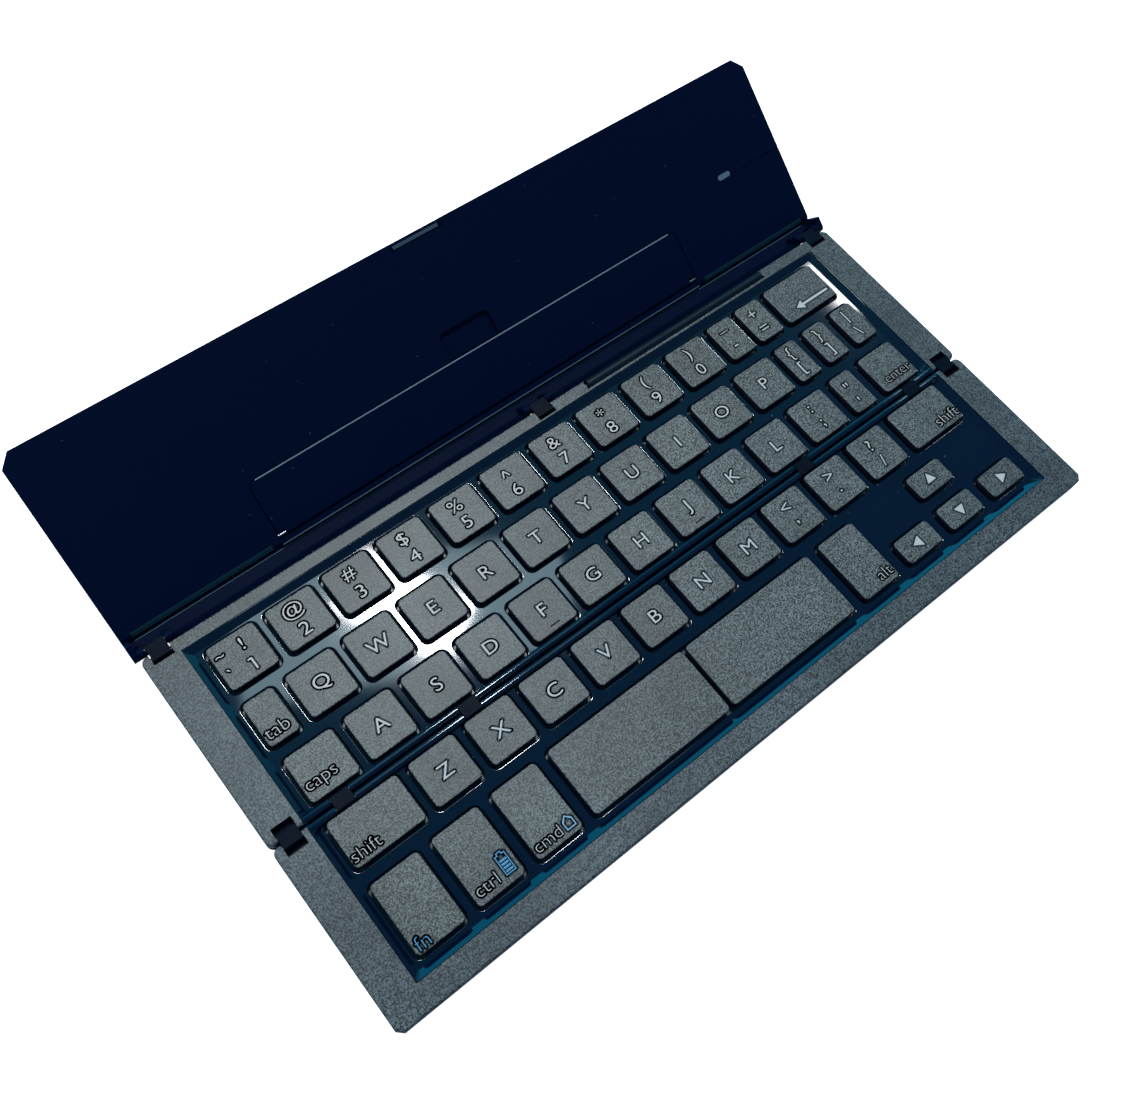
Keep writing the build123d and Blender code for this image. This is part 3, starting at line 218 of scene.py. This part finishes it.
def makePaintedEdgeLightGroup():
    # painted edge light: a line of the given lighter colour where Y lies between two values, above a height, outside
    # or inside a width in X, standing in for light caught on an edge
    tree, inn, out = startGroup("painted edge light", [
        ("Color", "NodeSocketColor", (0, 0, 0, 1)),
        ("Line", "NodeSocketColor", (0.2, 0.25, 0.27, 1)),
        ("Low", "NodeSocketFloat", 0.0),
        ("High", "NodeSocketFloat", 0.0),
        ("Inner", "NodeSocketFloat", 0.0),
        ("Outer", "NodeSocketFloat", 1.0),
        ("Above", "NodeSocketFloat", 0.0),
    ], [("Color", "NodeSocketColor")])
    x, y, z = splitXYZ(tree, coordinates(tree, "Object"))
    across = calc(tree, "ABSOLUTE", x)
    mask = calc(tree, "GREATER_THAN", y, inn["Low"])
    for operation, source, limit in (("LESS_THAN", y, "High"), ("GREATER_THAN", across, "Inner"),
                                     ("LESS_THAN", across, "Outer"), ("GREATER_THAN", z, "Above")):
        mask = calc(tree, "MULTIPLY", mask, calc(tree, operation, source, inn[limit]))
    feed(tree, out["Color"], blend(tree, mask, inn["Color"], inn["Line"]))
    return tree


speckleGroup = makeSpeckleGroup()
smudgeGroup = makeSmudgeGroup()
paintedEdgeLightGroup = makePaintedEdgeLightGroup()


# the finishes, by the names that the frame's record gives its pieces

paintedWallShadeSlope = (0.55, 0.8)


# side, when given, is a painted shade colour for the walls of the piece
def speckled(name, dark, light, grain=2700.0, roughness=0.4, bump=0.6, side=None, specular=0.5):
    mat, shader = newMaterial(name)
    tree = mat.node_tree
    node = placeGroup(mat, speckleGroup, Dark=(*dark, 1), Light=(*light, 1), Grain=grain,
                      Roughness=roughness, Bump=bump)
    colour = node.outputs["Color"]
    if side is not None:
        # painted shade: the walls take a darker side colour than the sprayed top, fading in as the normal turns from
        # upright
        top = ramp(tree, splitXYZ(tree, coordinates(tree, "Normal"))["Z"], *paintedWallShadeSlope)
        colour = blend(tree, top, (*side, 1), colour)
    feed(tree, shader.inputs["Base Color"], colour)
    feed(tree, shader.inputs["Roughness"], node.outputs["Roughness"])
    feed(tree, shader.inputs["Normal"], node.outputs["Normal"])
    shader.inputs["Specular IOR Level"].default_value = specular
    return mat


def smooth(name, colour, smoothest=0.08, roughest=0.2, scale=60.0, bump=0.05, dust=0.0, metallic=0.0, specular=0.5):
    mat, shader = newMaterial(name)
    node = placeGroup(mat, smudgeGroup, Color=(*colour, 1), Smooth=smoothest, Rough=roughest, Scale=scale, Bump=bump)
    node.inputs["Dust Amount"].default_value = dust
    feed(mat.node_tree, shader.inputs["Base Color"], node.outputs["Color"])
    feed(mat.node_tree, shader.inputs["Roughness"], node.outputs["Roughness"])
    feed(mat.node_tree, shader.inputs["Normal"], node.outputs["Normal"])
    shader.inputs["Metallic"].default_value = metallic
    shader.inputs["Specular IOR Level"].default_value = specular
    return mat


def withPaintedEdgeLight(mat, rows, above=-1.0):
    # each row paints a line of light: the pale rows are painted highlights, the darker teal row on the lid face is a
    # painted reflection
    # rows are (low Y, high Y, inner X, outer X, colour), in millimetres, as is the height above
    base = mat.node_tree.nodes["Principled BSDF"].inputs["Base Color"]
    for low, high, inner, outer, colour in rows:
        source = base.links[0].from_socket
        node = placeGroup(mat, paintedEdgeLightGroup, Low=low * mm, High=high * mm, Inner=inner * mm, Outer=outer * mm,
                          Above=above * mm, Line=(*colour, 1))
        feed(mat.node_tree, node.inputs["Color"], source)
        feed(mat.node_tree, base, node.outputs["Color"])
    return mat


def printInk(name, colour, specular=0.5):
    return smooth(name, colour, 0.5, 0.6, scale=900.0, specular=specular)


lidSheen = {"smoothest": 0.5, "roughest": 0.56, "scale": 90.0, "bump": 0.05, "dust": 0.2, "specular": 0.04}
lidNavy = (0.0008, 0.0052, 0.024)
finishes = {
    # the side colours of key and bezel are painted shade on their walls
    "key": speckled("key grey", (0.006, 0.007, 0.007), (0.205, 0.2, 0.178), side=(0.002, 0.004, 0.012)),
    "bezel": speckled("bezel grey", (0.007, 0.009, 0.01), (0.15, 0.155, 0.148), side=(0.002, 0.005, 0.013)),
    "cover": speckled("cover black", (0.003, 0.006, 0.014), (0.01, 0.014, 0.024), grain=2500.0, roughness=0.6,
                      bump=0.15, specular=0.05),
    "tray": smooth("tray gloss", (0.0004, 0.0055, 0.018), 0.04, 0.065, scale=35.0, bump=0.02, dust=0.5),
    # the pale lines on the lid, the lid face and the flap are painted highlights; the dark teal band on the lid face
    # is a painted reflection on its chamfer
    "lid": withPaintedEdgeLight(smooth("lid navy", lidNavy, **lidSheen), [(33.2, 33.44, 0, 112, (0.05, 0.1, 0.12))], above=1.0),
    "lid_face": withPaintedEdgeLight(smooth("lid face navy", lidNavy, **lidSheen), [
        (33.42, 33.66, 0, 112, (0.09, 0.14, 0.16)),
        (33.9, 34.2, 73, 112, (0.04, 0.1, 0.12)),
        (34.0, 34.7, 73, 112, (0.006, 0.03, 0.045))]),
    "flap": withPaintedEdgeLight(smooth("flap navy", lidNavy, **lidSheen), [(47.64, 48.0, 0, 68, (0.24, 0.3, 0.33))]),
    "plate": smooth("thin steel", (0.1, 0.105, 0.11), 0.25, 0.4, scale=300.0, metallic=1.0),
    "membrane": smooth("switch film", (0.03, 0.035, 0.042), 0.3, 0.45),
    "dome": smooth("silicone", (0.72, 0.73, 0.74), 0.5, 0.65),
    "scissor": smooth("dark moulding", (0.03, 0.035, 0.04), 0.4, 0.55),
    "battery": smooth("battery foil", (0.6, 0.61, 0.63), 0.3, 0.5, scale=500.0, bump=0.4, metallic=1.0),
    "board": smooth("solder mask", (0.01, 0.09, 0.035), 0.25, 0.4),
    "socket": smooth("stamped steel", (0.6, 0.6, 0.6), 0.2, 0.35, metallic=1.0),
    "barrel": smooth("barrel gloss", (0.002, 0.006, 0.013), 0.3, 0.4, specular=0.3),
    "pin": smooth("ground steel", (0.3, 0.32, 0.34), 0.25, 0.35, scale=900.0, metallic=1.0),
    "foot": smooth("foot rubber", (0.02, 0.02, 0.021), 0.7, 0.85),
    "screw": smooth("black steel", (0.12, 0.12, 0.13), 0.3, 0.45, metallic=1.0),
    "link": smooth("link coating", (0.001, 0.005, 0.012), 0.4, 0.5, scale=120.0, specular=0.05),
    "magnet": smooth("pale insert", (0.13, 0.17, 0.2), 0.4, 0.55),
    "latch": smooth("latch grey", (0.05, 0.075, 0.1), 0.3, 0.45),
    "legend": printInk("legend print", (0.65, 0.56, 0.5)),
    "blue": printInk("legend blue", (0.08, 0.28, 0.44)),
    "paleBlue": printInk("legend pale blue", (0.26, 0.42, 0.52)),
    "halo": printInk("legend edge", (0.026, 0.036, 0.038), specular=0.15),
    "bar": printInk("homing bar", (0.003, 0.006, 0.01), specular=0.2),
}

for row in frame["record"]["subparts"]:
    materials = frame["nodes"][row["node"]].data.materials
    materials.clear()
    materials.append(finishes[row["material_slot"]])
print("finishes placed on the frame")


# the print on the keys; sizes and places are millimetres, signs in pairs stand one over the other

legendSet = {
    "lift": 0.014,
    "haloLift": 0.007,
    "haloGrow": 0.5,
    "haloSides": 10,
    "stroke": -0.02,
    "wordStroke": -0.1,
    "wordHeight": 0.93,
    "letter": 3.35,
    "widen": 1.16,
    "pairAside": -0.4,
    "pairUpper": 2.65,
    "pairLower": -2.7,
}
oneShape = [(0.55, 1.6), (-0.65, 1.6), (-0.65, 1.2), (0.1, 1.2), (0.1, -1.6), (0.55, -1.6)]
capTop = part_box("key_tab")[1].z
keyPitch = 16.1


def centreOf(node):
    low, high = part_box(node)
    return (low.x + high.x) / 2 / mm, (low.y + high.y) / 2 / mm


def flatShape(points):
    bm = bmesh.new()
    bm.faces.new([bm.verts.new((x * mm, y * mm, 0)) for x, y in points])
    return meshFrom(bm, "shape")


def outlineShape(outer, inner):
    bm = bmesh.new()
    a, b = ([bm.verts.new((x * mm, y * mm, 0)) for x, y in ring] for ring in (outer, inner))
    for i in range(len(a)):
        j = (i + 1) % len(a)
        bm.faces.new((a[i], a[j], b[j], b[i]))
    return meshFrom(bm, "outline")


def glyphs(text, x, y, height=None, width=None):
    # text as a flat mesh centred on x, y; its capitals or its whole width are brought to the given size
    if text == "1":
        return flatShape([(x + px, y + py) for px, py in oneShape])
    curve = bpy.data.curves.new("glyphs", "FONT")
    curve.size = 1.0
    curve.resolution_u = 5
    holder = addObject("glyphs", curve)

    def meshNow(body, offset=0.0):
        curve.body = body
        curve.offset = offset
        bpy.context.view_layer.update()
        return bpy.data.meshes.new_from_object(holder.evaluated_get(bpy.context.evaluated_depsgraph_get()))

    def extent(body):
        mesh = meshNow(body)
        low, high = (Vector([pick(v.co[axis] for v in mesh.vertices) for axis in (0, 1)]) for pick in (min, max))
        bpy.data.meshes.remove(mesh)
        return low, high

    low, high = extent(text)
    if width is None:
        capitalLow, capitalHigh = extent("H")
        scaleY = height / (capitalHigh.y - capitalLow.y)
        scaleX = scaleY * legendSet["widen"]
        stroke = legendSet["stroke"]
    else:
        scaleX = width / (high.x - low.x)
        scaleY = scaleX * legendSet["wordHeight"]
        stroke = legendSet["wordStroke"]
    mesh = meshNow(text, stroke / scaleX)
    midX, midY = (low.x + high.x) / 2, (low.y + high.y) / 2
    for v in mesh.vertices:
        v.co = ((x + (v.co.x - midX) * scaleX) * mm, (y + (v.co.y - midY) * scaleY) * mm, 0)
    bpy.data.objects.remove(holder)
    bpy.data.curves.remove(curve)
    return mesh


def edgeAround(meshes):
    # bands and discs along the outline of the print
    bm = bmesh.new()
    reach = legendSet["haloGrow"] * mm
    turns = [k * 2 * pi / legendSet["haloSides"] for k in range(legendSet["haloSides"])]
    for mesh in meshes:
        source = bmesh.new()
        source.from_mesh(mesh)
        bmesh.ops.remove_doubles(source, verts=source.verts, dist=1e-7)
        for edge in source.edges:
            if len(edge.link_faces) != 1 or edge.calc_length() < 1e-6:
                continue
            a, b = edge.verts[0].co, edge.verts[1].co
            side = (b - a).normalized().cross(Vector((0, 0, 1))) * reach
            bm.faces.new([bm.verts.new(point) for point in (a + side, b + side, b - side, a - side)])
            bm.faces.new([bm.verts.new((a.x + reach * cos(turn), a.y + reach * sin(turn), 0)) for turn in turns])
        source.free()
    return meshFrom(bm, "edge")


def printed(name, body, meshes, finish, lift):
    bm = bmesh.new()
    for mesh in meshes:
        bm.from_mesh(mesh)
        bpy.data.meshes.remove(mesh)
    for v in bm.verts:
        v.co.z = capTop + legendSet[lift] * mm
    for face in bm.faces:
        face.normal_update()
        if face.normal.z < 0:
            face.normal_flip()
    piece = addObject(name, meshFrom(bm, name))
    piece.data.materials.append(finishes[finish])
    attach(piece, body)


def printBoth(name, body, meshes, finish="legend"):
    # the print, and a darker edge under it
    edge = edgeAround(meshes)
    printed(name, body, meshes, finish, "lift")
    printed(name + "_edge", body, [edge], "halo", "haloLift")


def pairSigns(x, y, pair):
    x += legendSet["pairAside"]
    return [(pair[0], x, y + legendSet["pairUpper"], legendSet["letter"], None),
            (pair[1], x, y + legendSet["pairLower"], legendSet["letter"], None)]


# each row: its first key's centre, signs placed alone as (sign, x and y from that centre, height), single letters,
# pairs on keys at the same pitch and the first of these keys, and pairs on narrower keys as (x, pair)
rowSet = {
    "number": {"start": -94.3, "alone": [("!", 1.5, 2.8, 3.2), ("1", 1.0, -3.1, 3.2), ("~", -4.4, 2.8, 2.5),
                                         ("`", -4.6, -1.3, 3.2)],
               "letters": "", "pairs": ["@2", "#3", "$4", "%5", "^6", "&7", "*8", "(9", ")0"], "from": 1,
               "narrow": [(64.2, "_-"), (75.0, "+=")]},
    "top": {"start": -83.2, "alone": [], "letters": "QWERTYUIOP", "pairs": [], "from": 10,
            "narrow": [(74.7, "{["), (85.8, "}]"), (97.1, "|\\")]},
    "home": {"start": -78.1, "alone": [], "letters": "ASDFGHJKL", "pairs": [":;"], "from": 9,
             "narrow": [(80.6, "\"'")]},
    "bottom": {"start": -72.7, "alone": [], "letters": "ZXCVBNM", "pairs": ["<,", ">.", "?/"], "from": 7,
               "narrow": []},
}
for row, keys in rowSet.items():
    node = "keys_" + row + "_row"
    y = centreOf(node)[1]
    signs = [(sign, keys["start"] + dx, y + dy, height, None) for sign, dx, dy, height in keys["alone"]]
    signs += [(letter, keys["start"] + keyPitch * i, y, legendSet["letter"], None)
              for i, letter in enumerate(keys["letters"])]
    for i, pair in enumerate(keys["pairs"], keys["from"]):
        signs += pairSigns(keys["start"] + keyPitch * i, y, pair)
    for x, pair in keys["narrow"]:
        signs += pairSigns(x, y, pair)
    printBoth("legends_" + row + "_row", node + "_body", [glyphs(*sign) for sign in signs])

# words, as (word, x and y from the key's centre, width, finish)
wordKeys = {
    "key_tab": ("tab", -0.5, -3.05, 6.2, "legend"),
    "key_caps_lock": ("caps", -1.7, -3.0, 8.1, "legend"),
    "key_left_shift": ("shift", -5.3, -3.5, 7.6, "legend"),
    "key_right_shift": ("shift", 5.1, -3.3, 8.1, "legend"),
    "key_enter": ("enter", 1.0, -3.1, 9.5, "legend"),
    "key_fn": ("fn", -4.0, -7.1, 3.5, "blue"),
    "key_ctrl": ("ctrl", -2.3, -6.2, 6.0, "legend"),
    "key_command": ("cmd", -2.0, -6.6, 7.4, "legend"),
    "key_alt": ("alt", 3.3, -6.3, 4.5, "legend"),
}
for node, (word, dx, dy, wide, finish) in wordKeys.items():
    x, y = centreOf(node)
    printBoth("legend_" + node, node + "_body", [glyphs(word, x + dx, y + dy, None, wide)], finish)

arrowSet = {
    "reach": 1.85,
    "turns": {"key_arrow_left": 180, "key_arrow_right": 0, "key_arrow_up": 90, "key_arrow_down": 270},
}
for node, turn in arrowSet["turns"].items():
    x, y = centreOf(node)
    angles = [radians(turn + k * 120) for k in range(3)]
    corners = [(x + arrowSet["reach"] * cos(angle), y + arrowSet["reach"] * sin(angle)) for angle in angles]
    printBoth("legend_" + node, node + "_body", [flatShape(corners)])

backArrow = {"y": -3.25, "tip": -4.2, "tail": 8.1, "head": 2.6, "wing": 1.45, "half": 0.35}
x, y = centreOf("key_backspace")
line, tip, tail = y + backArrow["y"], x + backArrow["tip"], x + backArrow["tail"]
neck, wing, half = tip + backArrow["head"], backArrow["wing"], backArrow["half"]
printBoth("legend_key_backspace", "key_backspace_body", [flatShape([
    (tip, line), (neck, line + wing), (neck, line + half), (tail, line + half),
    (tail, line - half), (neck, line - half), (neck, line - wing)])])

houseSet = {"x": 4.1, "y": -6.3, "side": 1.2, "base": 1.5, "eaves": 0.3, "ridge": 1.5, "steep": 1.4, "line": 0.15}


def house(grow):
    x, y = centreOf("key_command")
    x, y = x + houseSet["x"], y + houseSet["y"]
    side, base, eaves = houseSet["side"] + grow, houseSet["base"] + grow, houseSet["eaves"] + grow
    return [(x - side, y - base), (x + side, y - base), (x + side, y + eaves),
            (x, y + houseSet["ridge"] + houseSet["steep"] * grow), (x - side, y + eaves)]


printBoth("legend_house", "key_command_body", [outlineShape(house(houseSet["line"]), house(-houseSet["line"]))],
          "paleBlue")

cellSet = {
    "x": 3.8, "y": -4.7, "side": 1.3, "base": 2.6, "shoulder": 2.1, "tip": 0.6, "top": 2.65,
    "outside": 0.1, "inside": 0.17,
    "bars": 4, "barSide": 0.95, "barBase": -2.15, "barPitch": 0.85, "barHeight": 0.55,
}
x, y = centreOf("key_ctrl")
cellX, cellY = x + cellSet["x"], y + cellSet["y"]


def cell(grow):
    side, base, tip = cellSet["side"] + grow, cellSet["base"] + grow, cellSet["tip"] + grow
    shoulder, top = cellSet["shoulder"] + grow, cellSet["top"] + grow
    rightHalf = [(side, -base), (side, shoulder), (tip, shoulder), (tip, top)]
    leftHalf = [(-px, py) for px, py in reversed(rightHalf)]
    return [(cellX + px, cellY + py) for px, py in rightHalf + leftHalf]


bars = []
for i in range(cellSet["bars"]):
    low = cellY + cellSet["barBase"] + i * cellSet["barPitch"]
    left, right, high = cellX - cellSet["barSide"], cellX + cellSet["barSide"], low + cellSet["barHeight"]
    bars.append(flatShape([(left, low), (right, low), (right, high), (left, high)]))
printBoth("legend_cell", "key_ctrl_body", [outlineShape(cell(cellSet["outside"]), cell(-cellSet["inside"]))] + bars,
          "blue")
print("legends printed")


# homing bars on two keys of the home row, counted from its first letter

barSet = {"keys": (3, 6), "length": 2.9, "width": 0.34, "height": 0.16, "x": 0.2, "y": -4.7, "lift": 0.04,
          "round": 0.06}
rowCentre = centreOf("keys_home_row")[1]
bm = bmesh.new()
for i in barSet["keys"]:
    made = bmesh.ops.create_cube(bm, size=1.0)["verts"]
    bmesh.ops.scale(bm, vec=(barSet["length"] * mm, barSet["width"] * mm, barSet["height"] * mm), verts=made)
    bmesh.ops.translate(bm, vec=((rowSet["home"]["start"] + keyPitch * i + barSet["x"]) * mm,
                                 (rowCentre + barSet["y"]) * mm, capTop + barSet["lift"] * mm), verts=made)
bmesh.ops.bevel(bm, geom=list(bm.edges), offset=barSet["round"] * mm, affect="EDGES", segments=3, profile=0.5,
                material=-1)
homingBars = addObject("homing_bars", meshFrom(bm, "homing_bars"))
homingBars.data.materials.append(finishes["bar"])
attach(homingBars, "keys_home_row_body")
print("homing bars made")


# floor, light and camera

floorSet = {"size": 3.0, "albedo": 0.85, "roughness": 0.9, "glow": 1.0, "drop": 0.0002}
bm = bmesh.new()
bmesh.ops.create_grid(bm, x_segments=2, y_segments=2, size=floorSet["size"])
mat, shader = newMaterial("floor white")
shader.inputs["Base Color"].default_value = (floorSet["albedo"],) * 3 + (1,)
shader.inputs["Roughness"].default_value = floorSet["roughness"]
shader.inputs["Specular IOR Level"].default_value = 0.0
shader.inputs["Emission Color"].default_value = (1, 1, 1, 1)
seen = mat.node_tree.nodes.new("ShaderNodeLightPath").outputs["Is Camera Ray"]
feed(mat.node_tree, shader.inputs["Emission Strength"], calc(mat.node_tree, "MULTIPLY", seen, floorSet["glow"]))
floor = addObject("floor", meshFrom(bm, "floor"))
floor.data.materials.append(mat)
floor.location = (0, 0, -floorSet["drop"])

# the spot, the glow and the strip are seen in the gloss between the keys; the soft lamps light the tops
# from behind and from the left, and are turned to the middle of the keyboard
lampSet = {
    "ceiling spot": {"place": (0.18, 0.377, 1.07), "size": (0.08, 0.15), "turn": 0.45, "power": 6.0,
                     "colour": (1, 1, 1)},
    "ceiling glow": {"place": (0.18, 0.375, 1.1), "size": (0.42, 0.16), "turn": -0.43, "power": 1.0,
                     "colour": (0.62, 0.9, 1)},
    "far strip": {"place": (0.985, 0.417, 1.07), "size": (0.06, 0.1), "turn": 0.0, "power": 0.6,
                  "colour": (1, 1, 1)},
    "soft rear": {"place": (-0.5, 0.7, 0.35), "size": (0.3, 0.3), "turn": None, "power": 1.5, "colour": (1, 1, 1)},
    "soft left": {"place": (-0.36, 0.12, 0.3), "size": (0.2, 0.2), "turn": None, "power": 0.35, "colour": (1, 1, 1)},
}
for name, lamp in lampSet.items():
    data = bpy.data.lights.new(name, "AREA")
    data.shape = "RECTANGLE"
    data.size, data.size_y = lamp["size"]
    data.energy = lamp["power"]
    data.color = lamp["colour"]
    piece = addObject(name, data)
    piece.location = lamp["place"]
    if lamp["turn"] is None:
        piece.rotation_euler = (-Vector(lamp["place"])).to_track_quat("-Z", "Y").to_euler()
    else:
        piece.rotation_euler = (0, 0, lamp["turn"])

# a dim blue room with a brighter band low behind the keyboard, white where the camera sees it
worldSet = {
    "front": (0.05, 0.16, 0.32), "back": (0.07, 0.36, 0.48), "rise": (0.12, 0.36),
    "band": (0.05, 1.3, 2.2), "bandHeight": (0.6, 0.3), "bandBehind": (0.2, 0.7),
}
world = bpy.data.worlds.new("studio")
world.use_nodes = True
bpy.context.scene.world = world
tree = world.node_tree
room = tree.nodes["Background"]
room.inputs["Strength"].default_value = 1.0
x, y, z = splitXYZ(tree, coordinates(tree, "Generated"))
band = calc(tree, "MULTIPLY", ramp(tree, z, *worldSet["bandHeight"]), ramp(tree, y, *worldSet["bandBehind"]))
sky = blend(tree, ramp(tree, y, *worldSet["rise"]), (*worldSet["front"], 1), (*worldSet["back"], 1))
feed(tree, room.inputs["Color"], blend(tree, band, sky, (*worldSet["band"], 1)))
pale = tree.nodes.new("ShaderNodeBackground")
pale.inputs["Color"].default_value = (1, 1, 1, 1)
chosen = tree.nodes.new("ShaderNodeMixShader")
feed(tree, chosen.inputs["Fac"], tree.nodes.new("ShaderNodeLightPath").outputs["Is Camera Ray"])
feed(tree, chosen.inputs[1], room.outputs["Background"])
feed(tree, chosen.inputs[2], pale.outputs["Background"])
feed(tree, tree.nodes["World Output"].inputs["Surface"], chosen.outputs["Shader"])
bpy.context.scene.view_settings.view_transform = "Standard"

cameraSet = {
    "place": (-0.115005, -0.091375, 0.270432),
    "turn": (0.4353999, -0.0979180, -0.6767825),
    "lens": 37.328,
    "sensor": 36.0,
    "clip": 0.01,
}
lens = bpy.data.cameras.new("camera")
lens.sensor_width = cameraSet["sensor"]
lens.lens = cameraSet["lens"]
lens.clip_start = cameraSet["clip"]
camera = addObject("camera", lens)
camera.location = cameraSet["place"]
camera.rotation_euler = cameraSet["turn"]
bpy.context.scene.camera = camera
print("stage set")
